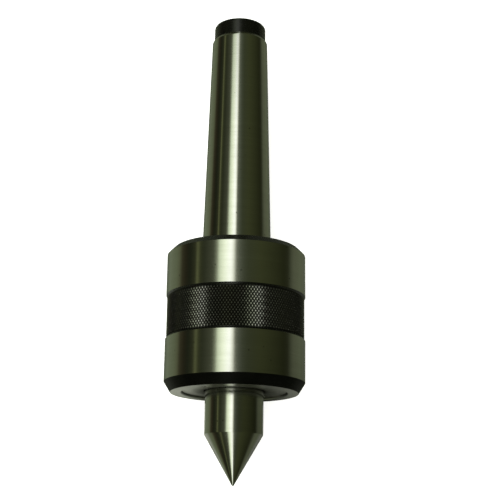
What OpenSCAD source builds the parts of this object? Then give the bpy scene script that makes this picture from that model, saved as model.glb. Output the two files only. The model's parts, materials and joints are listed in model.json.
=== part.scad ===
// Live center: a 60 degree point that turns with the work, in a housing on a Morse taper 3 shank.
// The spindle runs in two ball bearings, a ball thrust bearing and a needle bearing, held in by
// a threaded cover nut with a shaft seal.
// The axis lies along Y, with the point towards -Y and the shank towards +Y.
// The origin is on the axis, at the gauge plane of the taper.
// Each piece is drawn along its own Z axis, with 0 at the housing's front face and depth growing
// towards the shank, and on_axis() lays it along Y.

/* [Taper shank] */
// Diameter at the gauge plane
gauge_d = 23.825; // [23.7:0.005:23.9]
// Taper on diameter, per millimetre of length
taper_rate = 0.0502; // [0.0495:0.0001:0.0525]
// Distance from the rear face of the head to the gauge plane
gauge_offset = 5; // [4:0.5:7]
// Length of the shank behind the head
shank_len = 86; // [78:1:100]
// Length of the plain stub at the tail
stub_len = 6.4; // [5.4:0.2:10]
// Diameter of the plain stub
stub_d = 18.7; // [17:0.1:19.2]
// Rounding at the end of the stub
stub_round = 1.2; // [0.4:0.1:2]
// Length of the step from stub to taper
stub_step = 0.9; // [0.4:0.1:1.5]
// Pilot diameter of the centre hole in the tail
tail_pilot_d = 3.15; // [2:0.05:4]
// Depth of that pilot, from the tail
tail_pilot_depth = 8; // [6.5:0.5:12]
// Mouth diameter of the centre hole in the tail
tail_mouth_d = 8; // [6:0.5:10]

/* [Head] */
// Diameter of the ground bands
head_d = 48.3; // [47:0.1:52]
// Length of the head
head_len = 50; // [49:0.5:56]
// Length of the front chamfer along the axis
front_chamfer_len = 3.6; // [2:0.1:4.4]
// Radial depth of the front chamfer
front_chamfer_in = 2.25; // [1.5:0.05:3.5]
// Size of the rear chamfer
rear_chamfer = 2.2; // [1:0.1:3]
// Length of each ground band beside the grip
band_len = 14.4; // [11:0.1:16]
// How far the floor of the knurled grip lies below the bands
grip_drop = 0.55; // [0.4:0.05:1]

/* [Spindle] */
// Diameter of the nose
nose_d = 20; // [19.5:0.1:20.5]
// Length of the nose outside the housing
nose_len = 14; // [8:0.5:24]
// Full angle of the point
point_angle = 60; // [60:1:75]
// Diameter of the small flat at the very tip
tip_d = 0.5; // [0.3:0.1:1]
// Diameter of the journal in the ball bearings
journal_d = 17; // [16.9:0.01:17.01]
// Diameter of the rear pilot in the needle bearing
pilot_d = 12; // [11.8:0.05:12]

/* [Cover nut] */
// Outside diameter of the cover nut, at its thread
cover_d = 36; // [35.5:0.1:37]
// How far the cover nut lies below the front face
cover_recess = 0.7; // [0.3:0.1:1]
// Diameter of the hole that the nose passes through
cover_bore_d = 20.8; // [20.6:0.1:21.4]
// Pitch diameter of the two pin spanner holes
spanner_pcd = 29; // [28.6:0.1:30]
// Diameter of the pin spanner holes
spanner_hole_d = 2.5; // [2:0.1:2.6]
// Depth of the pin spanner holes
spanner_hole_depth = 3; // [2:0.1:3.2]
// Thread diameter of the screw that locks the cover nut
lock_screw_d = 4; // [3:0.5:5]

/* [Ball bearings] */
// Outside diameter of each ball bearing
bearing_d = 35; // [35:0.01:35.02]
// Width of each ball bearing
bearing_w = 10; // [9.5:0.1:10]
// Diameter of the bearing balls
ball_d = 4.762; // [4.6:0.002:4.8]
// Balls in each bearing
ball_count = 10; // [7:1:11]
// Width of the spacers between the two bearings
spacer_w = 4; // [3:0.1:4]

/* [Thrust bearing] */
// Outside diameter of the thrust bearing
thrust_d = 30; // [29.8:0.1:30.2]
// Height of the thrust bearing
thrust_h = 9; // [8.6:0.1:9.2]
// Balls in the thrust bearing
thrust_count = 12; // [8:1:13]
// Thickness of each disc spring
disc_t = 0.7; // [0.5:0.05:0.8]

/* [Needle bearing] */
// Outside diameter of the needle bearing
needle_bearing_d = 16; // [15.9:0.05:16.5]
// Width of the needle bearing
needle_bearing_w = 10; // [9:0.5:10]
// Needles in the bearing
needle_count = 16; // [10:1:16]

/* [Hidden] */

$fn = 96;
eps = 0.5;          // overshoot of a cutting tool
seat_gap = 0.01;    // radial gap between two seated pieces
run_gap = 0.06;     // gap between a rolling element and its race

// Plan of the depths, measured from the front face
cover_end = 7.8;
middle_from = cover_end + bearing_w + spacer_w;
middle_end = middle_from + bearing_w;
circlip_t = 1;
thrust_from = middle_end + circlip_t + 2.2;
thrust_end = thrust_from + thrust_h;
disc_rise = 0.2;
pocket_end = thrust_end + 2 * (disc_t + disc_rise);
needle_from = pocket_end + 1;
pilot_end = needle_from + needle_bearing_w + 1;
bore_end = pilot_end + 2;

// Head and shank
head_r = head_d / 2;
grip_r = head_r - grip_drop;
front_y = -(gauge_offset + head_len);
tail_depth = head_len + shank_len;
gauge_depth = head_len + gauge_offset;
function taper_r(depth) = gauge_d / 2 - taper_rate / 2 * (depth - gauge_depth);
bore_break = 0.3;
shell_r = thrust_d / 2;
cone_slope = tan(30);

// Spindle
nose_r = nose_d / 2;
journal_r = journal_d / 2;
pilot_r = pilot_d / 2;
point_len = (nose_r - tip_d / 2) / tan(point_angle / 2);
journal_end = thrust_end - 2;
edge_break = 0.4;
clip_groove_r = journal_r - 0.4;

// Ball bearings
race_r = 1.04 * ball_d / 2;
ball_pitch_r = (journal_d + bearing_d) / 4;
ring_wall = 2.6;
cage_half = 0.65;
cage_rail = 0.9;

// Thrust bearing
thrust_washer_t = 2.75;
thrust_pitch_r = 11.75;
thrust_mid = thrust_from + thrust_h / 2;

// Needle bearing
needle_r = 0.7;
needle_len = 7;
needle_pitch_r = pilot_r + run_gap + needle_r;
cup_inner_r = needle_pitch_r + needle_r + run_gap;
cup_lip = 0.6;
needle_mid = needle_from + needle_bearing_w / 2;

// Shaft seal
seal_from = 4.1;
seal_r = 13;
seal_case_t = 0.5;
seal_end = cover_end - 0.3;
garter_r = 0.4;
garter_pitch_r = 11.55;
o_ring_r = 0.68;
o_ring_depth = 2.9;
o_ring_groove_w = 1.7;

steel = [0.62, 0.63, 0.60];
black_oxide = [0.10, 0.10, 0.09];
bearing_steel = [0.74, 0.75, 0.76];
brass = [0.78, 0.62, 0.30];
spring_steel = [0.45, 0.46, 0.48];
seal_rubber = [0.13, 0.09, 0.07];

// ---- shared shapes ----

// Lays a piece drawn along Z, with depth 0 at the front face, onto the Y axis
module on_axis() {
    translate([0, front_y, 0]) rotate([-90, 0, 0]) children();
}

// A plain ring
module tube(inner_r, outer_r, from, len) {
    rotate_extrude() translate([inner_r, from]) square([outer_r - inner_r, len]);
}

// A ring with its four edges broken
module broken_ring(inner_r, outer_r, from, len, edge = edge_break) {
    rotate_extrude() polygon([
        [inner_r + edge, from], [outer_r - edge, from],
        [outer_r, from + edge], [outer_r, from + len - edge],
        [outer_r - edge, from + len], [inner_r + edge, from + len],
        [inner_r, from + len - edge], [inner_r, from + edge]
    ]);
}

// A round rod bent to a ring
module round_ring(pitch_r, rod_r, depth) {
    rotate_extrude() translate([pitch_r, depth]) circle(rod_r);
}

// A ring of equal pieces round the axis
module around(count) {
    for (i = [0 : count - 1]) rotate([0, 0, 360 * i / count]) children();
}

// Balls of a bearing
module ball_set(count, pitch_r, depth) {
    around(count) translate([pitch_r, 0, depth]) sphere(d = ball_d);
}

// Cage of a radial ball bearing, with a round pocket at each ball
module ball_cage(depth) {
    width = ball_d + 2 * cage_rail;
    difference() {
        tube(ball_pitch_r - cage_half, ball_pitch_r + cage_half, depth - width / 2, width);
        around(ball_count)
            translate([ball_pitch_r - cage_half - eps, 0, depth]) rotate([0, 90, 0])
                cylinder(h = 2 * (cage_half + eps), d = ball_d + 0.2);
    }
}

// Outer ring of a radial ball bearing, grooved for the balls
module outer_ring(from) {
    groove_pitch_r = ball_pitch_r + ball_d / 2 + run_gap - race_r;
    difference() {
        broken_ring(bearing_d / 2 - ring_wall, bearing_d / 2 - seat_gap, from, bearing_w);
        round_ring(groove_pitch_r, race_r, from + bearing_w / 2);
    }
}

// Inner ring of a radial ball bearing, grooved for the balls
module inner_ring(from) {
    groove_pitch_r = ball_pitch_r - ball_d / 2 - run_gap + race_r;
    difference() {
        broken_ring(journal_r + seat_gap, journal_r + ring_wall, from, bearing_w);
        round_ring(groove_pitch_r, race_r, from + bearing_w / 2);
    }
}

// ---- housing: head and taper shank in one piece ----

module head_outside() {
    grip_from = front_chamfer_len + band_len;
    grip_to = head_len - rear_chamfer - band_len;
    rotate_extrude() polygon([
        [0, 0],
        [head_r - front_chamfer_in, 0],
        [head_r, front_chamfer_len],
        [head_r, grip_from],
        [grip_r, grip_from + grip_drop],
        [grip_r, grip_to - grip_drop],
        [head_r, grip_to],
        [head_r, head_len - rear_chamfer],
        [head_r - rear_chamfer, head_len],
        [0, head_len]
    ]);
}

module shank_outside() {
    taper_end = tail_depth - stub_len;
    stub_r = stub_d / 2;
    rotate_extrude() polygon([
        [0, head_len - eps],
        [taper_r(head_len - eps), head_len - eps],
        [taper_r(taper_end - stub_step / 2), taper_end - stub_step / 2],
        [stub_r, taper_end + stub_step / 2],
        [stub_r, tail_depth - stub_round],
        [0, tail_depth - stub_round]
    ]);
    translate([0, 0, tail_depth - stub_round - eps])
        cylinder(h = stub_round + eps, r = stub_r - stub_round);
    round_ring(stub_r - stub_round, stub_round, tail_depth - stub_round);
}

// The stepped bore, from the cover nut's thread down to the needle bearing
module housing_bore() {
    rotate_extrude() polygon([
        [0, -eps],
        [cover_d / 2 + bore_break + eps, -eps],
        [cover_d / 2, bore_break],
        [cover_d / 2, cover_end],
        [bearing_d / 2, cover_end],
        [bearing_d / 2, middle_end],
        [shell_r, middle_end],
        [shell_r, pocket_end],
        [needle_bearing_d / 2, pocket_end],
        [needle_bearing_d / 2, bore_end],
        [0, bore_end + needle_bearing_d / 2 * cone_slope]
    ]);
}

// The centre hole in the tail
module tail_centre() {
    mouth_depth = (tail_mouth_d - tail_pilot_d) / 2 / cone_slope;
    translate([0, 0, tail_depth - tail_pilot_depth])
        cylinder(h = tail_pilot_depth + eps, d = tail_pilot_d);
    translate([0, 0, tail_depth - mouth_depth])
        cylinder(h = mouth_depth + eps, d1 = tail_pilot_d, d2 = tail_mouth_d + 2 * eps * cone_slope);
}

// The radial hole for the lock screw, on the underside of the head
lock_depth = 5.75;
module lock_hole() {
    translate([0, cover_d / 2 - eps, lock_depth]) rotate([-90, 0, 0])
        cylinder(h = head_r - cover_d / 2 + 2 * eps, d = lock_screw_d);
}

module housing() {
    color(black_oxide) on_axis() difference() {
        union() {
            head_outside();
            shank_outside();
        }
        housing_bore();
        tail_centre();
        lock_hole();
    }
}

// ---- cover nut, its seals and its lock ----

module cover_nut() {
    rim_r = cover_d / 2 - seat_gap;
    groove_r = cover_d / 2 - 2 * o_ring_r;
    color(steel) on_axis() difference() {
        rotate_extrude() polygon([
            [cover_bore_d / 2, cover_recess + bore_break],
            [cover_bore_d / 2 + bore_break, cover_recess],
            [rim_r - bore_break, cover_recess],
            [rim_r, cover_recess + bore_break],
            [rim_r, o_ring_depth - o_ring_groove_w / 2],
            [groove_r, o_ring_depth - o_ring_groove_w / 2],
            [groove_r, o_ring_depth + o_ring_groove_w / 2],
            [rim_r, o_ring_depth + o_ring_groove_w / 2],
            [rim_r, cover_end],
            [seal_r, cover_end],
            [seal_r, seal_from],
            [cover_bore_d / 2, seal_from]
        ]);
        for (side = [0, 180])
            rotate([0, 0, 45 + side])
                translate([spanner_pcd / 2, 0, cover_recess - eps])
                    cylinder(h = spanner_hole_depth + eps, d = spanner_hole_d);
    }
}

module cover_o_ring() {
    color(seal_rubber) on_axis()
        round_ring(cover_d / 2 - o_ring_r - seat_gap / 2, o_ring_r - seat_gap / 2, o_ring_depth);
}

// Grub screw with a hexagon socket
module nut_lock_screw() {
    screw_r = lock_screw_d / 2 - seat_gap;
    screw_len = head_r - cover_d / 2 - 0.8;
    color(black_oxide) on_axis()
        translate([0, cover_d / 2 + 0.05, lock_depth]) rotate([-90, 0, 0]) difference() {
            rotate_extrude() polygon([
                [0, 0],
                [screw_r - edge_break, 0],
                [screw_r, edge_break],
                [screw_r, screw_len - edge_break],
                [screw_r - edge_break, screw_len],
                [0, screw_len]
            ]);
            translate([0, 0, screw_len - lock_screw_d / 2])
                cylinder(h = lock_screw_d, d = lock_screw_d * 0.577, $fn = 6);
        }
}

// Pressed steel case of the shaft seal, an angle section
module shaft_seal_case() {
    case_r = seal_r - seat_gap;
    color(spring_steel) on_axis() rotate_extrude() polygon([
        [nose_r + 1.4, seal_from],
        [case_r, seal_from],
        [case_r, seal_end],
        [case_r - seal_case_t, seal_end],
        [case_r - seal_case_t, seal_from + seal_case_t],
        [nose_r + 1.4, seal_from + seal_case_t]
    ]);
}

// Rubber lip, drawn at the size it takes up on the nose
module shaft_seal_lip() {
    lip_from = seal_from + seal_case_t;
    lip_r = nose_r + run_gap;
    color(seal_rubber) on_axis() difference() {
        rotate_extrude() polygon([
            [nose_r + 1.5, lip_from],
            [seal_r - seal_case_t - 2 * seat_gap, lip_from],
            [seal_r - seal_case_t - 2 * seat_gap, lip_from + 0.6],
            [nose_r + 1.9, lip_from + 0.7],
            [nose_r + 1.5, lip_from + 1.3],
            [nose_r + 1.5, seal_end - 0.1],
            [nose_r + 0.8, seal_end - 0.1],
            [lip_r, seal_end - 0.7],
            [nose_r + 0.7, lip_from + 0.9]
        ]);
        round_ring(garter_pitch_r, garter_r, seal_end - 0.75);
    }
}

module seal_garter_spring() {
    color(spring_steel) on_axis()
        round_ring(garter_pitch_r, garter_r - seat_gap, seal_end - 0.75);
}

// ---- front and middle ball bearings ----

module front_bearing_outer_ring() {
    color(bearing_steel) on_axis() outer_ring(cover_end);
}

module front_bearing_inner_ring() {
    color(bearing_steel) on_axis() inner_ring(cover_end);
}

module front_bearing_cage() {
    color(brass) on_axis() ball_cage(cover_end + bearing_w / 2);
}

module front_bearing_balls() {
    color(bearing_steel) on_axis() ball_set(ball_count, ball_pitch_r, cover_end + bearing_w / 2);
}

module outer_spacer() {
    color(steel) on_axis() tube(
        bearing_d / 2 - ring_wall + 0.3, bearing_d / 2 - seat_gap, cover_end + bearing_w, spacer_w);
}

module inner_spacer() {
    color(steel) on_axis() tube(
        journal_r + seat_gap, journal_r + ring_wall - 0.3, cover_end + bearing_w, spacer_w);
}

module middle_bearing_outer_ring() {
    color(bearing_steel) on_axis() outer_ring(middle_from);
}

module middle_bearing_inner_ring() {
    color(bearing_steel) on_axis() inner_ring(middle_from);
}

module middle_bearing_cage() {
    color(brass) on_axis() ball_cage(middle_from + bearing_w / 2);
}

module middle_bearing_balls() {
    color(bearing_steel) on_axis() ball_set(ball_count, ball_pitch_r, middle_from + bearing_w / 2);
}

// ---- circlip and thrust bearing ----

// Retaining ring in the spindle's groove, with an eye at each end
module spindle_circlip() {
    clip_r = journal_r + 2;
    eye_r = 1.6;
    eye_pitch_r = journal_r + 2.2;
    eye_angle = 15;
    color(spring_steel) on_axis() difference() {
        union() {
            tube(clip_groove_r + seat_gap, clip_r, middle_end, circlip_t);
            for (side = [-1, 1])
                rotate([0, 0, side * eye_angle])
                    translate([eye_pitch_r, 0, middle_end]) cylinder(h = circlip_t, r = eye_r);
        }
        translate([0, 0, middle_end - eps])
            cylinder(h = circlip_t + 2 * eps, r = clip_groove_r + seat_gap);
        translate([0, -eye_r / 2, middle_end - eps])
            cube([clip_r + 2 * eye_r, eye_r, circlip_t + 2 * eps]);
        for (side = [-1, 1])
            rotate([0, 0, side * eye_angle])
                translate([eye_pitch_r + 0.2, 0, middle_end - eps])
                    cylinder(h = circlip_t + 2 * eps, r = eye_r / 2.5);
    }
}

module thrust_spacer() {
    color(steel) on_axis() tube(
        journal_r + seat_gap, journal_r + 3.5, middle_end + circlip_t,
        thrust_from - middle_end - circlip_t);
}

// A flat washer with a ball groove on one face
module thrust_washer(inner_r, outer_r, from, groove_depth) {
    difference() {
        broken_ring(inner_r, outer_r, from, thrust_washer_t, edge_break / 2);
        round_ring(thrust_pitch_r, race_r, groove_depth);
    }
}

module thrust_shaft_washer() {
    color(bearing_steel) on_axis() thrust_washer(
        journal_r + seat_gap, shell_r - 0.2, thrust_from,
        thrust_mid - ball_d / 2 - run_gap + race_r);
}

module thrust_balls() {
    color(bearing_steel) on_axis() ball_set(thrust_count, thrust_pitch_r, thrust_mid);
}

module thrust_cage() {
    color(brass) on_axis() difference() {
        tube(thrust_pitch_r - 3, thrust_pitch_r + 2.9, thrust_mid - 1, 2);
        around(thrust_count)
            translate([thrust_pitch_r, 0, thrust_mid - 1 - eps])
                cylinder(h = 2 + 2 * eps, d = ball_d + 0.2);
    }
}

module thrust_housing_washer() {
    color(bearing_steel) on_axis() thrust_washer(
        journal_r + 0.5, shell_r - seat_gap, thrust_end - thrust_washer_t,
        thrust_mid + ball_d / 2 + run_gap - race_r);
}

// Two disc springs, set rim to rim
module disc_springs() {
    inner_r = journal_r + 1;
    outer_r = shell_r - 0.5;
    color(spring_steel) on_axis() {
        rotate_extrude() polygon([
            [inner_r, thrust_end],
            [outer_r, thrust_end + disc_rise],
            [outer_r, thrust_end + disc_rise + disc_t],
            [inner_r, thrust_end + disc_t]
        ]);
        rotate_extrude() polygon([
            [outer_r, thrust_end + disc_rise + disc_t],
            [inner_r, pocket_end - disc_t],
            [inner_r, pocket_end],
            [outer_r, pocket_end - disc_rise]
        ]);
    }
}

// ---- needle bearing ----

// Drawn cup with a lip turned in at each end
module needle_bearing_cup() {
    cup_r = needle_bearing_d / 2 - seat_gap;
    lip_r = pilot_r + 0.3;
    cup_to = needle_from + needle_bearing_w;
    color(bearing_steel) on_axis() rotate_extrude() polygon([
        [lip_r, needle_from],
        [cup_r, needle_from],
        [cup_r, cup_to],
        [lip_r, cup_to],
        [lip_r, cup_to - cup_lip],
        [cup_inner_r, cup_to - cup_lip],
        [cup_inner_r, needle_from + cup_lip],
        [lip_r, needle_from + cup_lip]
    ]);
}

module needle_bearing_cage() {
    cage_len = needle_len + 1.5;
    color(spring_steel) on_axis() difference() {
        tube(needle_pitch_r - 0.4, needle_pitch_r + 0.4, needle_mid - cage_len / 2, cage_len);
        around(needle_count)
            translate([needle_pitch_r - 1, -needle_r - 0.05, needle_mid - needle_len / 2 - 0.1])
                cube([2, 2 * needle_r + 0.1, needle_len + 0.2]);
    }
}

module needle_rollers() {
    color(bearing_steel) on_axis() around(needle_count)
        translate([needle_pitch_r, 0, needle_mid - needle_len / 2])
            cylinder(h = needle_len, r = needle_r, $fn = 32);
}

// ---- spindle: point, nose, journal and pilot in one piece ----

module spindle() {
    centre_r = 1.5;
    color(steel) on_axis() difference() {
        rotate_extrude() polygon([
            [0, -nose_len - point_len],
            [tip_d / 2, -nose_len - point_len],
            [nose_r, -nose_len],
            [nose_r, cover_end],
            [journal_r, cover_end],
            [journal_r, middle_end],
            [clip_groove_r, middle_end],
            [clip_groove_r, middle_end + circlip_t + 0.1],
            [journal_r, middle_end + circlip_t + 0.1],
            [journal_r, journal_end - edge_break],
            [journal_r - edge_break, journal_end],
            [pilot_r, journal_end],
            [pilot_r, pilot_end - edge_break],
            [pilot_r - edge_break, pilot_end],
            [0, pilot_end]
        ]);
        translate([0, 0, pilot_end - centre_r / cone_slope])
            cylinder(h = centre_r / cone_slope + eps, r1 = 0, r2 = centre_r + eps * cone_slope);
    }
}

housing();
spindle();
cover_nut();
cover_o_ring();
nut_lock_screw();
shaft_seal_case();
shaft_seal_lip();
seal_garter_spring();
front_bearing_outer_ring();
front_bearing_inner_ring();
front_bearing_cage();
front_bearing_balls();
outer_spacer();
inner_spacer();
middle_bearing_outer_ring();
middle_bearing_inner_ring();
middle_bearing_cage();
middle_bearing_balls();
spindle_circlip();
thrust_spacer();
thrust_shaft_washer();
thrust_balls();
thrust_cage();
thrust_housing_washer();
disc_springs();
needle_bearing_cup();
needle_bearing_cage();
needle_rollers();
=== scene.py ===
"""Looks of the live center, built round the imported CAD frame.

The housing, the spindle and the cover nut are turned from the same sections as in the CAD model, with
their edges broken and the knurl cut as real diamonds. The pieces inside are the CAD model's own.
Sections are in millimetres: a depth along the axis, 0 at the head's front face and growing towards
the shank, and a radius. Everything in the scene is in metres."""

import json
import math

import bpy
from mathutils import Matrix, Vector


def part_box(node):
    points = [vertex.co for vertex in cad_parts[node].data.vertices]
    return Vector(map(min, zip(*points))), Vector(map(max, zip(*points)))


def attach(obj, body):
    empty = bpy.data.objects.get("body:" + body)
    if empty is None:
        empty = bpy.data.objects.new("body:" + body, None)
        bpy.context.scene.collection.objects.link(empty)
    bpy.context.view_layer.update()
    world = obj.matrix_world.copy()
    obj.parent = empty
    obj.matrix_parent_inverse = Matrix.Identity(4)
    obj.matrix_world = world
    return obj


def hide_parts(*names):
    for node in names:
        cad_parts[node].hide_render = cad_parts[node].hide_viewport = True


MM = 0.001

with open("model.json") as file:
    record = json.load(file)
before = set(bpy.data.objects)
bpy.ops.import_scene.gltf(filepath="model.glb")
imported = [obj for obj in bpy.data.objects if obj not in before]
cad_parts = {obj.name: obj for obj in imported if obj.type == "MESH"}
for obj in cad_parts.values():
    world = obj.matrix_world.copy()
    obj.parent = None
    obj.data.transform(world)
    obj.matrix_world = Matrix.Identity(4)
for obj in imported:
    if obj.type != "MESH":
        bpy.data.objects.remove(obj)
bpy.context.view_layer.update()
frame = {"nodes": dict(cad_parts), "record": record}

# ---- places, from the frame ----

housing_lo, housing_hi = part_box("housing")
spindle_lo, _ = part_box("spindle")
FRONT_Y = housing_lo.y
TAIL_DEPTH = (housing_hi.y - FRONT_Y) / MM
TIP_DEPTH = (spindle_lo.y - FRONT_Y) / MM

# ---- sections: (depth, radius, rounding of this corner, finish of the surface after it) ----

GAUGE_DEPTH, GAUGE_R, TAPER_SLOPE = 55.0, 11.9125, 0.0251
HEAD_R, HEAD_LEN, BAND_LEN, GRIP_DROP = 24.15, 50.0, 14.4, 0.55
CHAMFER_LEN, CHAMFER_IN, REAR_CHAMFER, NUT_MOUTH_BREAK = 3.6, 2.25, 2.2, 0.3
STUB_LEN, STUB_R, STUB_ROUND, STUB_STEP = 6.4, 9.35, 1.2, 0.9
PILOT_R, PILOT_DEPTH, MOUTH_R = 1.575, 8.0, 4.0
BORE_END, DRILL_TIP = 59.8, 64.419
NUT_R, BEARING_R, THRUST_R, NEEDLE_R = 18.0, 17.5, 15.0, 8.0
NUT_END, BEARINGS_END, THRUST_END = 7.8, 31.8, 45.8

GRIP_FROM = CHAMFER_LEN + BAND_LEN
GRIP_TO = HEAD_LEN - REAR_CHAMFER - BAND_LEN
GRIP_R = HEAD_R - GRIP_DROP
TAPER_END = TAIL_DEPTH - STUB_LEN
MOUTH_DEPTH = (MOUTH_R - PILOT_R) / math.tan(math.radians(30))


def taper_r(depth):
    return GAUGE_R - TAPER_SLOPE * (depth - GAUGE_DEPTH)


HOUSING_SECTION = [
    (DRILL_TIP, 0, 0, "bored"),
    (BORE_END, NEEDLE_R, 0, "bored"),
    (THRUST_END, NEEDLE_R, 0.1, "bored"),
    (THRUST_END, THRUST_R, 0, "bored"),
    (BEARINGS_END, THRUST_R, 0.1, "bored"),
    (BEARINGS_END, BEARING_R, 0, "bored"),
    (NUT_END, BEARING_R, 0.1, "bored"),
    (NUT_END, NUT_R, 0, "bored"),
    (NUT_MOUTH_BREAK, NUT_R, 0.05, "faced"),
    (0, NUT_R + NUT_MOUTH_BREAK, 0.05, "faced"),
    (0, HEAD_R - CHAMFER_IN, 0.12, "dull"),
    (CHAMFER_LEN, HEAD_R, 0.1, "ground"),
    (GRIP_FROM, HEAD_R, 0.1, "black"),
    (GRIP_FROM + GRIP_DROP, GRIP_R, 0, "knurl"),
    (GRIP_TO - GRIP_DROP, GRIP_R, 0, "black"),
    (GRIP_TO, HEAD_R, 0.1, "ground"),
    (HEAD_LEN - REAR_CHAMFER, HEAD_R, 0.1, "black"),
    (HEAD_LEN, HEAD_R - REAR_CHAMFER, 0.25, "black"),
    (HEAD_LEN, taper_r(HEAD_LEN), 0.4, "taper"),
    (TAPER_END - STUB_STEP / 2, taper_r(TAPER_END - STUB_STEP / 2), 0.8, "taper"),
    (TAPER_END + STUB_STEP / 2, STUB_R, 0.4, "black"),
    (TAIL_DEPTH, STUB_R, STUB_ROUND, "black"),
    (TAIL_DEPTH, MOUTH_R, 0.1, "faced"),
    (TAIL_DEPTH - MOUTH_DEPTH, PILOT_R, 0, "bored"),
    (TAIL_DEPTH - PILOT_DEPTH, PILOT_R, 0, "bored"),
    (TAIL_DEPTH - PILOT_DEPTH, 0, 0, "bored"),
]

NOSE_R, NOSE_LEN, TIP_R = 10.0, 14.0, 0.25
JOURNAL_R, SPINDLE_PILOT_R, CLIP_R = 8.5, 6.0, 8.1
CLIP_END, JOURNAL_END, SPINDLE_END = 32.9, 42.0, 57.8
CENTRE_R, CENTRE_DEPTH = 1.5, 2.598

SPINDLE_SECTION = [
    (TIP_DEPTH, 0, 0, "point"),
    (TIP_DEPTH, TIP_R, 0.12, "point"),
    (-NOSE_LEN, NOSE_R, 0.12, "point"),
    (NUT_END, NOSE_R, 0.1, "point"),
    (NUT_END, JOURNAL_R, 0.1, "point"),
    (BEARINGS_END, JOURNAL_R, 0, "faced"),
    (BEARINGS_END, CLIP_R, 0, "faced"),
    (CLIP_END, CLIP_R, 0, "faced"),
    (CLIP_END, JOURNAL_R, 0, "point"),
    (JOURNAL_END, JOURNAL_R, 0.4, "faced"),
    (JOURNAL_END, SPINDLE_PILOT_R, 0.2, "point"),
    (SPINDLE_END, SPINDLE_PILOT_R, 0.4, "faced"),
    (SPINDLE_END, CENTRE_R, 0.05, "faced"),
    (SPINDLE_END - CENTRE_DEPTH, 0, 0, "faced"),
]

RIM_R, NUT_BORE_R, RECESS, BREAK = 17.99, 10.4, 0.7, 0.3
GROOVE_R, GROOVE_FROM, GROOVE_TO = 16.64, 2.05, 3.75
SEAL_FROM, SEAL_R = 4.1, 13.0
SPANNER_PITCH_R, SPANNER_R, SPANNER_DEPTH = 14.5, 1.25, 3.0

NUT_SECTION = [
    (RECESS + BREAK, NUT_BORE_R, 0.08, "faced"),
    (RECESS, NUT_BORE_R + BREAK, 0.08, "faced"),
    (RECESS, RIM_R - BREAK, 0.08, "faced"),
    (RECESS + BREAK, RIM_R, 0.08, "faced"),
    (GROOVE_FROM, RIM_R, 0, "bored"),
    (GROOVE_FROM, GROOVE_R, 0, "bored"),
    (GROOVE_TO, GROOVE_R, 0, "bored"),
    (GROOVE_TO, RIM_R, 0, "bored"),
    (NUT_END, RIM_R, 0, "bored"),
    (NUT_END, SEAL_R, 0, "bored"),
    (SEAL_FROM, SEAL_R, 0, "bored"),
    (SEAL_FROM, NUT_BORE_R, 0, "bored"),
]

# ---- knurl: diamonds from two sets of grooves, four mesh columns and rows to each diamond ----

STEPS = 4
KNURL_STARTS, KNURL_LENGTH = 138, 9  # diamonds round the grip and along it
KNURL_ROWS = KNURL_LENGTH * STEPS
KNURL_HEIGHT = 0.24
KNURL_UNEVEN, KNURL_WAVES = 0.05, 7  # how much the height varies, and in how many waves round the grip

HOUSING_COLUMNS = KNURL_STARTS * STEPS
SPINDLE_COLUMNS = 360
NUT_COLUMNS = 288
ARC_STEPS = 4
LONGEST_BREAK = 0.45  # the most of a face that the rounding of one of its edges may take
HOLD = 0.06  # length of the narrow strip beside a rounded edge, which keeps flat faces flat
SHARP_ANGLE = math.radians(32)


def rounded(section, closed=False):
    """The section's points with its corners rounded: [(depth, radius, finish of the strip after it)]."""
    points = []
    count = len(section)
    for i, (depth, radius, rounding, finish) in enumerate(section):
        here = Vector((depth, radius))
        inner = closed or 0 < i < count - 1
        if not rounding or not inner:
            points.append((depth, radius, finish))
            continue
        before = Vector(section[i - 1][:2]) - here
        after = Vector(section[(i + 1) % count][:2]) - here
        finish_before = section[i - 1][3]
        half = before.angle(after) / 2
        reach = rounding / math.tan(half)
        reach = min(reach, LONGEST_BREAK * before.length, LONGEST_BREAK * after.length)
        bend = reach * math.tan(half)
        before.normalize()
        after.normalize()
        centre = here + (before + after).normalized() * (bend / math.sin(half))
        start, end = here + before * reach - centre, here + after * reach - centre
        turn = start.angle(end)
        hold_before = here + before * (reach + HOLD)
        points.append((hold_before.x, hold_before.y, finish_before))
        for k in range(ARC_STEPS + 1):
            t = k / ARC_STEPS
            p = centre + (
                start * math.sin((1 - t) * turn) + end * math.sin(t * turn)
            ) / math.sin(turn)
            points.append((p.x, p.y, finish_before if t < 0.5 else finish))
        hold_after = here + after * (reach + HOLD)
        points.append((hold_after.x, hold_after.y, finish))
    return points


def knurled(points):
    """The points with the rows of the knurl put in. Each gets its row's number, or None."""
    rows = []
    for n, (depth, radius, finish) in enumerate(points):
        if finish != "knurl":
            rows.append((depth, radius, finish, None))
            continue
        end = points[n + 1][0]
        for k in range(KNURL_ROWS):
            rows.append((depth + (end - depth) * k / KNURL_ROWS, radius, finish, k))
    return rows


def crest(column, row):
    """Height of the knurl above its root, in millimetres."""
    if row is None or row == 0:
        return 0
    period = STEPS // 2
    heights = [abs((column + side * row) % STEPS - period) / period for side in (1, -1)]
    uneven = 1 + KNURL_UNEVEN * math.sin(KNURL_WAVES * math.tau * column / HOUSING_COLUMNS + row)
    return KNURL_HEIGHT * min(heights) * uneven


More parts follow.
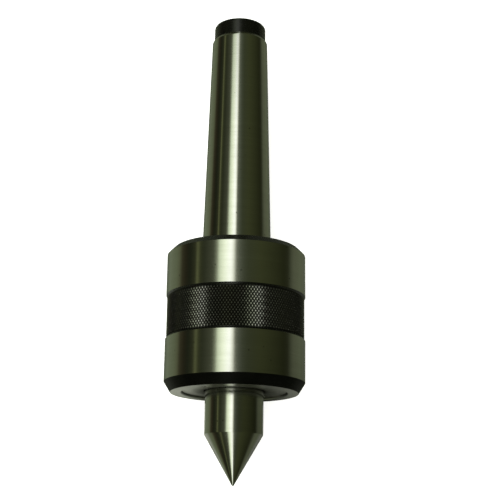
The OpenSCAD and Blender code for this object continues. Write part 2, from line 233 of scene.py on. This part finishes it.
def turned(name, rows, columns, finishes, closed=False):
    """A mesh object turned about the Y axis from rows of (depth, radius, finish, knurl row)."""
    verts, rings = [], []
    for depth, radius, _, knurl_row in rows:
        ring = []
        for c in range(columns if radius > 1e-6 else 1):
            angle = math.tau * c / columns
            r = (radius + crest(c, knurl_row)) * MM
            ring.append(len(verts))
            verts.append((r * math.sin(angle), FRONT_Y + depth * MM, r * math.cos(angle)))
        rings.append(ring)
    faces, kinds, flat = [], [], []
    for i in range(len(rows) if closed else len(rows) - 1):
        ring, following = rings[i], rings[(i + 1) % len(rings)]
        kind = finishes.index(rows[i][2])
        cut = rows[i][3] is not None
        for c in range(columns):
            d = (c + 1) % columns
            if len(ring) == 1:
                made = [(ring[0], following[d], following[c])]
            elif len(following) == 1:
                made = [(ring[c], ring[d], following[0])]
            elif not cut:
                made = [(ring[c], ring[d], following[d], following[c])]
            elif (c - rows[i][3]) % STEPS == STEPS // 2:
                made = [
                    (ring[c], ring[d], following[d]),
                    (ring[c], following[d], following[c]),
                ]
            else:
                made = [
                    (ring[c], ring[d], following[c]),
                    (ring[d], following[d], following[c]),
                ]
            faces += made
            kinds += [kind] * len(made)
            flat += [cut] * len(made)
    mesh = bpy.data.meshes.new(name)
    mesh.from_pydata(verts, [], faces)
    mesh.polygons.foreach_set("material_index", kinds)
    mesh.polygons.foreach_set("use_smooth", [not f for f in flat])
    mesh.update()
    obj = bpy.data.objects.new(name, mesh)
    bpy.context.scene.collection.objects.link(obj)
    return obj


DRILL_START = 1.0  # how far outside the piece a cutter begins


def drill(obj, place, axis, radius, length, finish, sink=0.0, sides=64):
    """Cuts a round hole into obj. Its mouth is at place and it runs along axis. A sink breaks its edge."""
    along = Vector(axis).normalized()
    turn = along.to_track_quat("Z", "Y").to_matrix().to_4x4()
    mouth_radius = radius + sink + DRILL_START if sink else radius
    outline = [(-DRILL_START, mouth_radius), (sink, radius), (length, radius)]
    verts = [(0, 0, outline[0][0])]
    for depth, r in outline:
        verts += [
            (r * math.cos(a), r * math.sin(a), depth)
            for a in (math.tau * k / sides for k in range(sides))
        ]
    verts.append((0, 0, length))
    faces = []
    for k in range(sides):
        n = (k + 1) % sides
        faces.append((0, 1 + n, 1 + k))
        for ring in range(len(outline) - 1):
            a, b = 1 + ring * sides, 1 + (ring + 1) * sides
            faces.append((a + k, a + n, b + n, b + k))
        last = 1 + (len(outline) - 1) * sides
        faces.append((last + k, last + n, len(verts) - 1))
    mesh = bpy.data.meshes.new("drill")
    mesh.from_pydata([Vector(v) * MM for v in verts], [], faces)
    mesh.transform(Matrix.Translation(Vector(place)) @ turn)
    for m in obj.data.materials:
        mesh.materials.append(m)
    mesh.polygons.foreach_set("material_index", [finish] * len(faces))
    mesh.polygons.foreach_set("use_smooth", [True] * len(faces))
    cutter = bpy.data.objects.new("drill", mesh)
    bpy.context.scene.collection.objects.link(cutter)
    cut = obj.modifiers.new("drill", "BOOLEAN")
    cut.object, cut.operation, cut.solver = cutter, "DIFFERENCE", "EXACT"
    graph = bpy.context.evaluated_depsgraph_get()
    graph.update()
    drilled = bpy.data.meshes.new_from_object(obj.evaluated_get(graph))
    obj.modifiers.clear()
    obj.data = drilled
    bpy.data.objects.remove(cutter)


# ---- materials ----


class Shader:
    """A node material under construction."""

    def __init__(self, name):
        self.material = bpy.data.materials.new(name)
        self.material.use_nodes = True
        self.tree = self.material.node_tree
        self.tree.nodes.clear()
        self.output = self.tree.nodes.new("ShaderNodeOutputMaterial")
        self.place = self.add("ShaderNodeTexCoord").outputs["Object"]

    def add(self, kind, values=None, **settings):
        """A new node. Its values are constants or the sockets to link to."""
        node = self.tree.nodes.new(kind)
        for key, value in settings.items():
            setattr(node, key, value)
        for key, value in (values or {}).items():
            if isinstance(value, bpy.types.NodeSocket):
                self.tree.links.new(value, node.inputs[key])
            else:
                node.inputs[key].default_value = value
        return node

    def math(self, operation, a, b=0.0, clamp=False):
        made = self.add("ShaderNodeMath", {0: a, 1: b}, operation=operation, use_clamp=clamp)
        return made.outputs[0]

    def stretched(self, across, along):
        """Coordinates in millimetres, scaled by across in X and Z and by along on the axis."""
        scale = (across / MM, along / MM, across / MM)
        made = self.add("ShaderNodeMapping", {"Vector": self.place, "Scale": scale})
        return made.outputs[0]

    def noise(self, across, along, detail=3.0, roughness=0.55, offset=0.0):
        """Noise with so many waves to the millimetre across and along the axis."""
        made = self.add(
            "ShaderNodeTexNoise",
            {
                "Vector": self.stretched(across, along),
                "Scale": 1.0,
                "Detail": detail,
                "Roughness": roughness,
                "W": offset,
            },
            noise_dimensions="4D",
        )
        return made.outputs["Fac"]

    def radius(self):
        """Distance from the axis, in millimetres."""
        parts = self.add("ShaderNodeSeparateXYZ", {0: self.place})
        x, z = (self.math("MULTIPLY", parts.outputs[k], 1 / MM) for k in ("X", "Z"))
        squares = self.math("ADD", self.math("MULTIPLY", x, x), self.math("MULTIPLY", z, z))
        return self.math("SQRT", squares)

    def span(self, value, low, high, to_low=0.0, to_high=1.0):
        """The value moved from the span low to high into the span to_low to to_high, and held there."""
        made = self.add(
            "ShaderNodeMapRange",
            {
                "Value": value,
                "From Min": low,
                "From Max": high,
                "To Min": to_low,
                "To Max": to_high,
            },
        )
        return made.outputs[0]

    def mix(self, share, a, b):
        a, b = (v if isinstance(v, bpy.types.NodeSocket) else (*v, 1) for v in (a, b))
        return self.add("ShaderNodeMix", {0: share, 6: a, 7: b}, data_type="RGBA").outputs[2]

    def bump(self, height, depth_um):
        """Normals bumped by a height between 0 and 1, which stands for a depth in micrometres."""
        values = {"Height": height, "Distance": depth_um * 1e-6, "Strength": 1.0}
        return self.add("ShaderNodeBump", values).outputs[0]

    def finish(self, color, roughness, normal=None, constants=None, round_lay=False):
        """Ends the material. round_lay lays the marks of its finish round the axis."""
        values = {"Base Color": color, "Roughness": roughness}
        values.update(constants or {})
        if normal is not None:
            values["Normal"] = normal
        if round_lay:
            lay = self.add("ShaderNodeTangent", direction_type="RADIAL", axis="Y")
            values["Tangent"] = lay.outputs[0]
        shader = self.add("ShaderNodeBsdfPrincipled", values)
        self.tree.links.new(shader.outputs[0], self.output.inputs[0])
        return self.material


PIT_COLOR = (0.03, 0.03, 0.02)


def metal_material(name, light, dark, rough, lines=(0.12, 5.0), line_um=0.6, pits=True):
    """Machined metal: fine marks round the axis, faint bands and stains, and a few small pits.
    lines holds the marks' fineness round the axis and along it."""
    s = Shader(name)
    fine = s.noise(lines[0], lines[1], detail=4, roughness=0.7)
    bands = s.noise(0.02, 0.55, detail=2, offset=3.1)
    stain = s.noise(0.16, 0.09, detail=4, offset=7.7)
    cells = s.add(
        "ShaderNodeTexVoronoi", {"Vector": s.stretched(0.22, 0.22), "Scale": 1.0, "Randomness": 1.0}
    )
    pit = s.span(cells.outputs["Distance"], 0.035, 0.06, 1.0, 0.0)
    marks = s.math("ADD", s.math("MULTIPLY", fine, 0.6), s.math("MULTIPLY", bands, 0.4))
    color = s.mix(s.span(marks, 0.3, 0.7), dark, light)
    color = s.mix(s.span(stain, 0.52, 0.74, 0.0, 0.35), color, dark)
    if pits:
        color = s.mix(s.math("MULTIPLY", pit, 0.8), color, PIT_COLOR)
    wear = s.math("ADD", s.span(stain, 0.3, 0.7, -0.03, 0.05), s.span(fine, 0.3, 0.7, -0.02, 0.03))
    roughness = s.math("ADD", wear, rough, clamp=True)
    height = s.math("SUBTRACT", fine, s.math("MULTIPLY", pit, 1.5)) if pits else fine
    return s.finish(
        color,
        roughness,
        s.bump(height, line_um),
        {"Metallic": 1.0, "Anisotropic": 0.6, "Anisotropic Rotation": 0.25},
        round_lay=True,
    )


FACING_FEED = 0.16  # distance between the tool marks on a faced surface
PAINTED_SHADE_RADII = (11.0, 15.0)  # painted shade darkens a face, which is also rougher there, up to the first radius and ends at the second
PAINTED_SHADE_COLOR = (0.04, 0.04, 0.03)


def faced_material(name, light, dark, rough):
    """Steel faced on the lathe: rings of tool marks about the axis, and painted shade near the axis, where
    it is also rougher.
    """
    s = Shader(name)
    radius = s.radius()
    rings = s.add(
        "ShaderNodeTexNoise",
        {"W": s.math("MULTIPLY", radius, 3.6), "Scale": 1.0, "Detail": 4.0, "Roughness": 0.6},
        noise_dimensions="1D",
    ).outputs["Fac"]
    tool = s.math("SINE", s.math("MULTIPLY", radius, math.tau / FACING_FEED))
    stain = s.noise(0.2, 0.2, detail=4, offset=1.4)
    marks = s.math("ADD", rings, s.math("MULTIPLY", tool, 0.12))
    color = s.mix(s.span(marks, 0.25, 0.75), dark, light)
    color = s.mix(s.span(stain, 0.5, 0.75, 0.0, 0.3), color, dark)
    # painted shade: the colour goes dark towards the axis
    color = s.mix(s.span(radius, *PAINTED_SHADE_RADII, 0.85, 0.0), color, PAINTED_SHADE_COLOR)
    wear = s.math(
        "ADD", s.span(stain, 0.3, 0.7, -0.04, 0.06), s.span(radius, *PAINTED_SHADE_RADII, 0.35, 0.0)
    )
    roughness = s.math("ADD", wear, rough, clamp=True)
    constants = {"Metallic": 1.0, "Anisotropic": 0.5, "Anisotropic Rotation": 0.25}
    return s.finish(color, roughness, s.bump(marks, 1.6), constants, round_lay=True)


def oxide_material(name, deep, worn, rough, gloss):
    """Black oxide on turned steel, a little worn in patches."""
    s = Shader(name)
    fine = s.noise(0.15, 3.0, detail=4, roughness=0.65)
    grain = s.noise(1.4, 1.4, detail=5, roughness=0.7, offset=2.2)
    patch = s.noise(0.13, 0.13, detail=3, offset=5.0)
    share = s.math("MULTIPLY", s.span(patch, 0.45, 0.7), s.span(grain, 0.35, 0.7, 0.2, 1.0))
    color = s.mix(share, deep, worn)
    wear = s.math("ADD", s.span(grain, 0.3, 0.7, -0.05, 0.07), s.span(fine, 0.3, 0.7, -0.03, 0.04))
    height = s.math("ADD", fine, s.math("MULTIPLY", grain, 0.6))
    return s.finish(
        color,
        s.math("ADD", wear, rough, clamp=True),
        s.bump(height, 1.4),
        {"IOR": 1.5, "Specular IOR Level": gloss},
    )


def knurl_material(name, groove, flank, crest_color, root):
    """Oiled black oxide on a knurl of the given root radius: dark in the grooves, glossy on the upper
    flanks, and rubbed to bare steel in specks on the crests."""
    s = Shader(name)
    grain = s.noise(1.4, 1.4, detail=5, roughness=0.7, offset=2.2)
    dents = s.noise(1.1, 0.8, detail=1, offset=9.4)
    radius = s.radius()
    flank_share = s.span(radius, root + 0.35 * KNURL_HEIGHT, root + 0.6 * KNURL_HEIGHT)
    crest_share = s.span(radius, root + 0.7 * KNURL_HEIGHT, root + 0.85 * KNURL_HEIGHT)
    color = s.mix(flank_share, groove, flank)
    color = s.mix(s.math("MULTIPLY", crest_share, s.span(grain, 0.4, 0.6)), color, crest_color)
    height = s.math("ADD", s.math("MULTIPLY", grain, 0.1), dents)
    roughness = s.span(grain, 0.3, 0.7, 0.12, 0.22)
    return s.finish(
        color, roughness, s.bump(height, 10.0), {"Metallic": 0.92, "Specular IOR Level": 0.0}
    )


def rubber_material(name):
    """Matte black rubber with a fine grain."""
    s = Shader(name)
    grain = s.noise(3.0, 3.0, detail=5, roughness=0.7)
    patch = s.noise(0.4, 0.4, detail=3, offset=4.0)
    color = s.mix(s.span(patch, 0.35, 0.65), (0.012, 0.010, 0.009), (0.035, 0.028, 0.024))
    roughness = s.span(grain, 0.3, 0.7, 0.5, 0.75)
    return s.finish(color, roughness, s.bump(grain, 8.0), {"IOR": 1.5})


GROUND_LIGHT, GROUND_DARK = (0.47, 0.47, 0.45), (0.39, 0.39, 0.365)

MATERIALS = {
    "ground": metal_material("ground_steel", GROUND_LIGHT, GROUND_DARK, 0.13),
    "taper": metal_material("taper_steel", GROUND_LIGHT, GROUND_DARK, 0.10),
    "point": metal_material("point_steel", GROUND_LIGHT, GROUND_DARK, 0.11, lines=(0.2, 7.0)),
    "faced": faced_material("faced_steel", (0.46, 0.46, 0.44), (0.33, 0.33, 0.31), 0.33),
    "bored": metal_material(
        "bored_steel", (0.33, 0.33, 0.31), (0.22, 0.22, 0.2), 0.3, line_um=2.0, pits=False
    ),
    "black": oxide_material(
        "black_oxide", (0.0028, 0.003, 0.0022), (0.0065, 0.0062, 0.005), 0.24, gloss=0.3
    ),
    "dull": oxide_material(
        "dull_oxide", (0.0018, 0.002, 0.0013), (0.004, 0.004, 0.003), 0.3, gloss=0.03
    ),
    "knurl": knurl_material(
        "knurled_oxide",
        (0.022, 0.022, 0.02),
        (0.2, 0.2, 0.185),
        (0.45, 0.45, 0.42),
        GRIP_R,
    ),
    "bearing_steel": metal_material(
        "bearing_steel", (0.62, 0.62, 0.61), (0.52, 0.52, 0.51), 0.1, line_um=0.3, pits=False
    ),
    "spring_steel": metal_material(
        "spring_steel", (0.4, 0.4, 0.41), (0.28, 0.28, 0.29), 0.28, line_um=1.5, pits=False
    ),
    "cage_brass": metal_material(
        "cage_brass", (0.74, 0.56, 0.25), (0.6, 0.43, 0.17), 0.24, line_um=1.5, pits=False
    ),
    "seal_rubber": rubber_material("seal_rubber"),
}

# ---- pieces ----

HOUSING_FINISHES = ["ground", "taper", "black", "dull", "knurl", "faced", "bored"]
SPINDLE_FINISHES = ["point", "faced"]
NUT_FINISHES = ["faced", "bored"]
LOCK_HOLE_R, LOCK_HOLE_LEN, LOCK_DEPTH, LOCK_START = 2.0, 6.9, 5.75, 0.05
UNDER_HEAD = (0, FRONT_Y + LOCK_DEPTH * MM, -(HEAD_R + LOCK_START) * MM)
SPANNER_EDGE = 0.15


def fitted(obj, finishes, body, slot, *nodes):
    """Gives a piece its materials and its body, and hides the CAD nodes that it stands for. slot is not
    used.
    """
    for finish in finishes:
        obj.data.materials.append(MATERIALS[finish])
    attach(obj, body)
    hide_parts(*nodes)
    return obj


def sharpened(obj, cut=None):
    """Keeps corners crisp where two surfaces meet at more than SHARP_ANGLE, and every facet of the
    finish numbered cut flat."""
    obj.data.set_sharp_from_angle(angle=SHARP_ANGLE)
    for face in obj.data.polygons:
        face.use_smooth = face.material_index != cut


def with_rows(points):
    """The points of a section without a knurl, as turned() takes them."""
    return [(depth, radius, finish, None) for depth, radius, finish in points]


housing = turned(
    "housing_turned", knurled(rounded(HOUSING_SECTION)), HOUSING_COLUMNS, HOUSING_FINISHES
)
fitted(housing, HOUSING_FINISHES, "body", "housing_steel", "housing")
drill(
    housing, UNDER_HEAD, (0, 0, 1), LOCK_HOLE_R, LOCK_HOLE_LEN, HOUSING_FINISHES.index("bored")
)
sharpened(housing, HOUSING_FINISHES.index("knurl"))

spindle = turned(
    "spindle_turned", with_rows(rounded(SPINDLE_SECTION)), SPINDLE_COLUMNS, SPINDLE_FINISHES
)
fitted(spindle, SPINDLE_FINISHES, "spindle", "ground_steel", "spindle")
sharpened(spindle)

nut = turned(
    "cover_nut_turned",
    with_rows(rounded(NUT_SECTION, closed=True)),
    NUT_COLUMNS,
    NUT_FINISHES,
    closed=True,
)
fitted(nut, NUT_FINISHES, "body", "turned_steel", "cover_nut")
for side in (1, -1):
    reach = side * SPANNER_PITCH_R * math.sqrt(0.5) * MM
    drill(
        nut,
        (reach, FRONT_Y + RECESS * MM, -reach),
        (0, 1, 0),
        SPANNER_R,
        SPANNER_DEPTH,
        NUT_FINISHES.index("bored"),
        sink=SPANNER_EDGE,
    )
sharpened(nut)

SLOT_FINISH = {
    "turned_steel": "faced",
    "black_oxide": "black",
    "bearing_steel": "bearing_steel",
    "spring_steel": "spring_steel",
    "cage_brass": "cage_brass",
    "seal_rubber": "seal_rubber",
    "housing_steel": "black",
    "ground_steel": "point",
}
slot_of = {row["node"]: row["material_slot"] for row in frame["record"]["subparts"]}
for node, obj in frame["nodes"].items():
    obj.data.materials.clear()
    obj.data.materials.append(MATERIALS[SLOT_FINISH[slot_of[node]]])

# ---- floor, backdrop and light ----

FLOOR_GAP = 0.02
FLOOR_Z = -(HEAD_R + FLOOR_GAP) * MM
ROOM = 2.5
BACKDROP_COLOR, BLACK = (0.93, 0.93, 0.92), (0, 0, 0)
FLOOR_GLOW, BACKDROP_GLOW = 0.85, 1.0


def stage_material(name, color, glow_color, glow):
    """Matte paper with a faint grain that gives some light of its own."""
    s = Shader(name)
    grain = s.noise(0.02, 0.02, detail=2)
    shade = s.mix(s.span(grain, 0.3, 0.7), [0.99 * c for c in color], color)
    return s.finish(
        shade, 0.9, constants={"Emission Color": (*glow_color, 1), "Emission Strength": glow}
    )


def stage_object(name, verts, faces, material):
    """A piece of the studio, which reflections don't see."""
    mesh = bpy.data.meshes.new(name)
    mesh.from_pydata(verts, [], faces)
    mesh.polygons.foreach_set("use_smooth", [True] * len(faces))
    mesh.materials.append(material)
    obj = bpy.data.objects.new(name, mesh)
    bpy.context.scene.collection.objects.link(obj)
    obj.visible_glossy = False
    return obj


corners = [(x * ROOM, y * ROOM, FLOOR_Z) for x, y in ((-1, -1), (1, -1), (1, 1), (-1, 1))]
floor_paper = stage_material("floor_paper", BACKDROP_COLOR, BACKDROP_COLOR, FLOOR_GLOW)
stage_object("floor", corners, [(0, 1, 2, 3)], floor_paper)

SIDES, RISES = 64, 16
DOME_R = 0.98 * ROOM


def dome_point(side, rise):
    """The point of the dome at a step round it and a step up from the floor."""
    turn, climb = math.tau * side / SIDES, math.pi / 2 * rise / RISES
    out = DOME_R * math.cos(climb)
    return (out * math.cos(turn), out * math.sin(turn), FLOOR_Z + DOME_R * math.sin(climb))


def dome_faces():
    """Rings of four-sided faces, closed at the top by triangles."""
    faces = []
    for k in range(SIDES):
        n = (k + 1) % SIDES
        for rise in range(RISES - 1):
            low, high = rise * SIDES, (rise + 1) * SIDES
            faces.append((low + k, low + n, high + n, high + k))
        faces.append(((RISES - 1) * SIDES + k, (RISES - 1) * SIDES + n, RISES * SIDES))
    return faces


dome_verts = [dome_point(k, rise) for rise in range(RISES) for k in range(SIDES)]
dome_verts.append((0, 0, FLOOR_Z + DOME_R))
backdrop_paper = stage_material("backdrop_paper", BLACK, BACKDROP_COLOR, BACKDROP_GLOW)
backdrop = stage_object("backdrop", dome_verts, dome_faces(), backdrop_paper)
backdrop.visible_diffuse = False
backdrop.visible_shadow = False

# A glowing card in front of the head, which only reflections see: a painted reflection of the floor, with
# a painted shadow. The front face shows it bright on the left, dim on the right and darkest under the
# nose. Stops are (millimetres across, brightness)
CARD_HALF, CARD_REACH = 26.0, 20.0
CARD_NEAR = [(-24, 0.5), (-18, 0.4), (-11, 0.06), (8, 0.0), (14, 0.01), (18, 0.08), (24, 0.25)]
CARD_FAR = [(-24, 0.55), (-17, 0.5), (-11, 0.15), (8, 0.01), (11, 0.03), (16, 0.13), (24, 0.25)]
CARD_BLEND = (1.0, 7.0)  # between these distances from the head, CARD_NEAR gives way to CARD_FAR
CARD_TINT = (1.0, 1.05, 0.86)
CARD_LIFT = 0.05


def set_stops(node, stops, low, high):
    """Sets a colour ramp's stops from (place, colour or grey), with places from low to high."""
    elements = node.color_ramp.elements
    while len(elements) < len(stops):
        elements.new(0.5)
    for element, (place, _) in zip(elements, stops):
        element.position = (place - low) / (high - low)
    for element, (_, color) in zip(elements, stops):
        element.color = (*color, 1) if isinstance(color, tuple) else (color, color, color, 1)


def card_material():
    """Black card that glows with the two rows of stops, one near the head and one farther out: a painted
    reflection with a painted shadow.
    """
    s = Shader("painted_floor_reflection")
    parts = s.add("ShaderNodeSeparateXYZ", {0: s.place})
    across = s.span(parts.outputs["X"], -CARD_HALF * MM, CARD_HALF * MM)
    ramps = []
    for stops in (CARD_NEAR, CARD_FAR):
        ramp = s.add("ShaderNodeValToRGB", {0: across})
        set_stops(ramp, stops, -CARD_HALF, CARD_HALF)
        ramps.append(ramp.outputs[0])
    out = s.span(parts.outputs["Y"], *(FRONT_Y - reach * MM for reach in CARD_BLEND))
    glow = s.mix(out, ramps[0], ramps[1])
    tinted = s.add(
        "ShaderNodeMix", {0: 1.0, 6: glow, 7: (*CARD_TINT, 1)}, data_type="RGBA", blend_type="MULTIPLY"
    ).outputs[2]
    return s.finish(
        (*BLACK, 1), 1.0, constants={"Emission Color": tinted, "Emission Strength": 1.0}
    )


card = stage_object(
    "card",
    [
        (x * CARD_HALF * MM, FRONT_Y - y * CARD_REACH * MM, FLOOR_Z + CARD_LIFT * MM)
        for x, y in ((-1, 1), (1, 1), (1, 0), (-1, 0))
    ],
    [(0, 1, 2, 3)],
    card_material(),
)
card.visible_glossy = True
card.visible_camera = False
card.visible_diffuse = False
card.visible_shadow = False
card.visible_transmission = False

# The room all round the axis: angle from straight up in degrees, towards +X, and its colour
ROOM_RING = [
    (-180, (0.12, 0.135, 0.10)),
    (-158, (0.13, 0.15, 0.105)),
    (-140, (0.24, 0.28, 0.18)),
    (-116, (0.205, 0.24, 0.14)),
    (-107, (0.165, 0.18, 0.10)),
    (-100, (0.065, 0.06, 0.032)),
    (-90, (0.033, 0.03, 0.016)),
    (-81, (0.024, 0.029, 0.016)),
    (-70, (0.05, 0.055, 0.027)),
    (-66, (0.20, 0.22, 0.10)),
    (-61, (0.06, 0.068, 0.03)),
    (-54, (0.045, 0.052, 0.028)),
    (-40, (0.09, 0.10, 0.06)),
    (-20, (0.20, 0.22, 0.15)),
    (0, (0.24, 0.26, 0.19)),
    (5, (0.17, 0.19, 0.135)),
    (12, (0.10, 0.115, 0.07)),
    (20, (0.075, 0.087, 0.045)),
    (40, (0.073, 0.083, 0.034)),
    (86, (0.032, 0.036, 0.015)),
    (95, (0.038, 0.042, 0.021)),
    (104, (0.115, 0.13, 0.078)),
    (110, (0.155, 0.172, 0.105)),
    (130, (0.175, 0.20, 0.12)),
    (155, (0.13, 0.145, 0.10)),
    (180, (0.12, 0.135, 0.10)),
]
# The lamp, in the same terms. LAMP_LENGTH is how bright it is by the direction's part along the axis
LAMP_RING = [
    (-36, (0.0, 0.0, 0.0)),
    (-31, (0.25, 0.28, 0.19)),
    (-27, (1.1, 1.25, 0.9)),
    (-18, (1.75, 1.9, 1.5)),
    (-8, (2.15, 2.2, 2.1)),
    (-4, (1.5, 1.55, 1.35)),
    (0, (0.1, 0.1, 0.07)),
    (2, (0.0, 0.0, 0.0)),
]
LAMP_LENGTH = [(0.4, 1.0), (0.5, 0.5)]
# How much darker the room is on the right, by the same part, and how fast that sets in to the right
RIGHT_DIM = [(-0.5, 0.1), (-0.1, 0.4), (0.1, 0.4), (0.2, 0.05), (0.25, 0.0)]
RIGHT_RISE = 8.0
# The paper in front of the nose: its colours, how fast they change across, and where it sets in, as
# the direction's part down or ahead and the rate beyond it
PAPER_LEFT, PAPER_RIGHT, PAPER_SPREAD = (0.5, 0.53, 0.43), (0.22, 0.23, 0.19), 3.0
PAPER_BELOW, PAPER_AHEAD = (0.5, 4.0), (0.05, 6.0)

world = bpy.data.worlds.new("studio")
bpy.context.scene.world = world
world.use_nodes = True
tree = world.node_tree
tree.nodes.clear()
coords = tree.nodes.new("ShaderNodeTexCoord")
axes = tree.nodes.new("ShaderNodeSeparateXYZ")
tree.links.new(coords.outputs["Generated"], axes.inputs[0])


def world_math(operation, a, b=0.0, clamp=False):
    """The result of a math node in the world's tree."""
    node = tree.nodes.new("ShaderNodeMath")
    node.operation, node.use_clamp = operation, clamp
    for socket, value in zip(node.inputs, (a, b)):
        if isinstance(value, bpy.types.NodeSocket):
            tree.links.new(value, socket)
        else:
            socket.default_value = value
    return node.outputs[0]


def world_ramp(place, stops, low, high):
    """The colour that the stops give at a place between low and high."""
    node = tree.nodes.new("ShaderNodeValToRGB")
    set_stops(node, stops, low, high)
    share = world_math("DIVIDE", world_math("SUBTRACT", place, low), high - low)
    tree.links.new(share, node.inputs[0])
    return node.outputs[0]


def world_mix(share, a, b, blend="MIX"):
    """The result of two colours mixed in the world's tree."""
    node = tree.nodes.new("ShaderNodeMix")
    node.data_type, node.blend_type = "RGBA", blend
    for key, value in ((0, share), (6, a), (7, b)):
        if isinstance(value, bpy.types.NodeSocket):
            tree.links.new(value, node.inputs[key])
        else:
            node.inputs[key].default_value = value
    return node.outputs[2]


radians = world_math("ARCTAN2", axes.outputs["X"], axes.outputs["Z"])
degrees = world_math("MULTIPLY", radians, math.degrees(1))
room = world_ramp(degrees, ROOM_RING, -180, 180)
lamp = world_ramp(degrees, LAMP_RING, -180, 180)
lamp_length = world_ramp(axes.outputs["Y"], LAMP_LENGTH, -1, 1)
lamp = world_mix(1.0, lamp, lamp_length, "MULTIPLY")

rightward = world_math("MULTIPLY", axes.outputs["X"], RIGHT_RISE, clamp=True)
dim = world_math("MULTIPLY", rightward, world_ramp(axes.outputs["Y"], RIGHT_DIM, -1, 1))
room = world_mix(dim, room, (*BLACK, 1))


def beyond(part, start, rate):
    """How far the direction's part on one axis is past -start, from 0 to 1."""
    return world_math("MULTIPLY", world_math("ADD", axes.outputs[part], start), -rate, clamp=True)


sideways = world_math("MULTIPLY", axes.outputs["X"], PAPER_SPREAD)
paper_share = world_math("ADD", sideways, 0.5, clamp=True)
paper = world_mix(paper_share, (*PAPER_LEFT, 1), (*PAPER_RIGHT, 1))
below, ahead = beyond("Z", *PAPER_BELOW), beyond("Y", *PAPER_AHEAD)
room = world_mix(world_math("MULTIPLY", below, ahead), room, paper)

background = tree.nodes.new("ShaderNodeBackground")
tree.links.new(world_mix(1.0, room, lamp, "ADD"), background.inputs[0])
world_output = tree.nodes.new("ShaderNodeOutputWorld")
tree.links.new(background.outputs[0], world_output.inputs[0])

SOFTBOX_SIZE, SOFTBOX_POWER = 1.6, 11.0
SOFTBOX_PLACE, SOFTBOX_TURN = (-0.2, -0.1, 1.4), (0.05, -0.14, 0)

softbox = bpy.data.lights.new("softbox", "AREA")
softbox.shape, softbox.size, softbox.energy = "DISK", SOFTBOX_SIZE, SOFTBOX_POWER
softbox_object = bpy.data.objects.new("softbox", softbox)
softbox_object.location = SOFTBOX_PLACE
softbox_object.rotation_euler = SOFTBOX_TURN
softbox_object.visible_glossy = False
bpy.context.scene.collection.objects.link(softbox_object)
bpy.context.scene.view_settings.view_transform = "Standard"

# ---- camera: high above the object, looking down and a little along the axis ----

TILT, ROLL = math.radians(15.27), math.radians(-0.76)
DISTANCE, LENS, SENSOR = 0.4003, 82.058, 36.0
AIM_Y, SHIFT_RIGHT, SHIFT_DOWN = -0.0072, 0.004742, -0.00274
CLIP = (0.01, 20)

forward = Vector((0, math.sin(TILT), -math.cos(TILT)))
level, plumb = Vector((1, 0, 0)), Vector((0, -math.cos(TILT), -math.sin(TILT)))
right = level * math.cos(ROLL) + plumb * math.sin(ROLL)
down = plumb * math.cos(ROLL) - level * math.sin(ROLL)
camera = bpy.data.objects.new("camera", bpy.data.cameras.new("camera"))
camera.data.sensor_width = SENSOR
camera.data.lens = LENS
camera.data.clip_start, camera.data.clip_end = CLIP
eye = Vector((0, AIM_Y, 0)) - forward * DISTANCE + right * SHIFT_RIGHT + down * SHIFT_DOWN
facing = Matrix((right, -down, -forward)).transposed().to_4x4()
camera.matrix_world = Matrix.Translation(eye) @ facing
bpy.context.scene.collection.objects.link(camera)
bpy.context.scene.camera = camera
